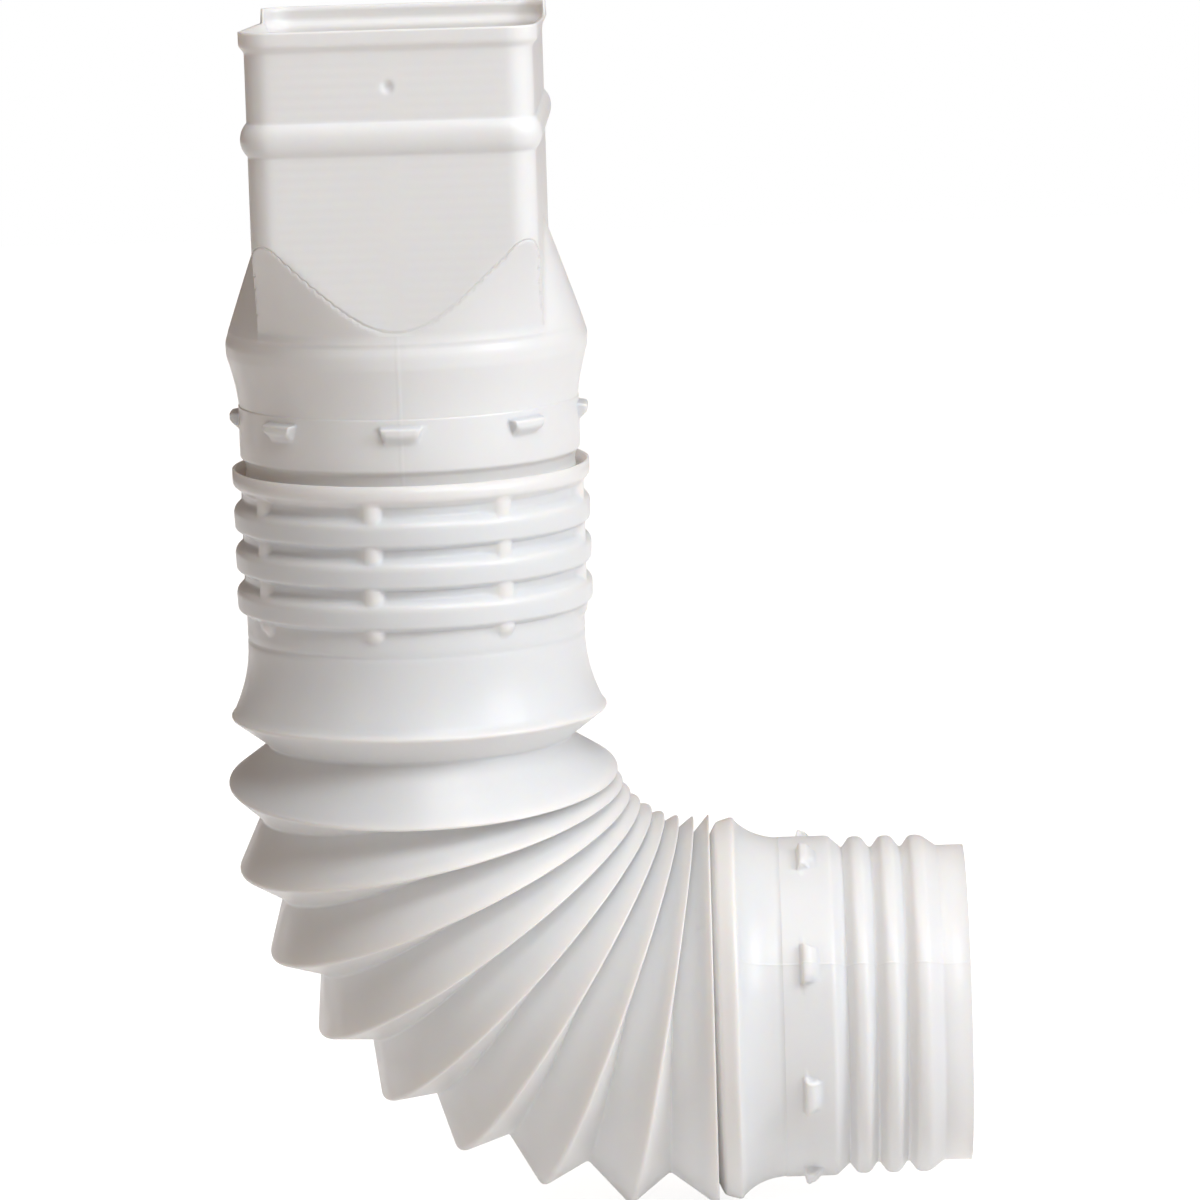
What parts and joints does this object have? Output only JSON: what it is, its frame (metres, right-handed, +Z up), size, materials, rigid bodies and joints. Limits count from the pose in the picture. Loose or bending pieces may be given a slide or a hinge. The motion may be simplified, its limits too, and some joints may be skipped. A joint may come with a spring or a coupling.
{
  "type": "downspout adapter",
  "caption": "Rectangular downspout socket that turns round and plugs into the bell of a flexible elbow, whose bellows is bent to a right angle.",
  "frame": {"origin": "middle of the rectangular socket's mouth, in the plane of its rim", "axes": "+Z up out of the socket's mouth, against the flow; +X towards the side that the outlet points to; -Y is the front, with the screw dimple"},
  "size_m": [0.2299, 0.1295, 0.3759],
  "materials": {
    "white_plastic": "satin"
  },
  "bodies": {
    "root": {"downspout_adapter": "white_plastic", "flexible_elbow": "white_plastic"}
  },
  "joints": []
}
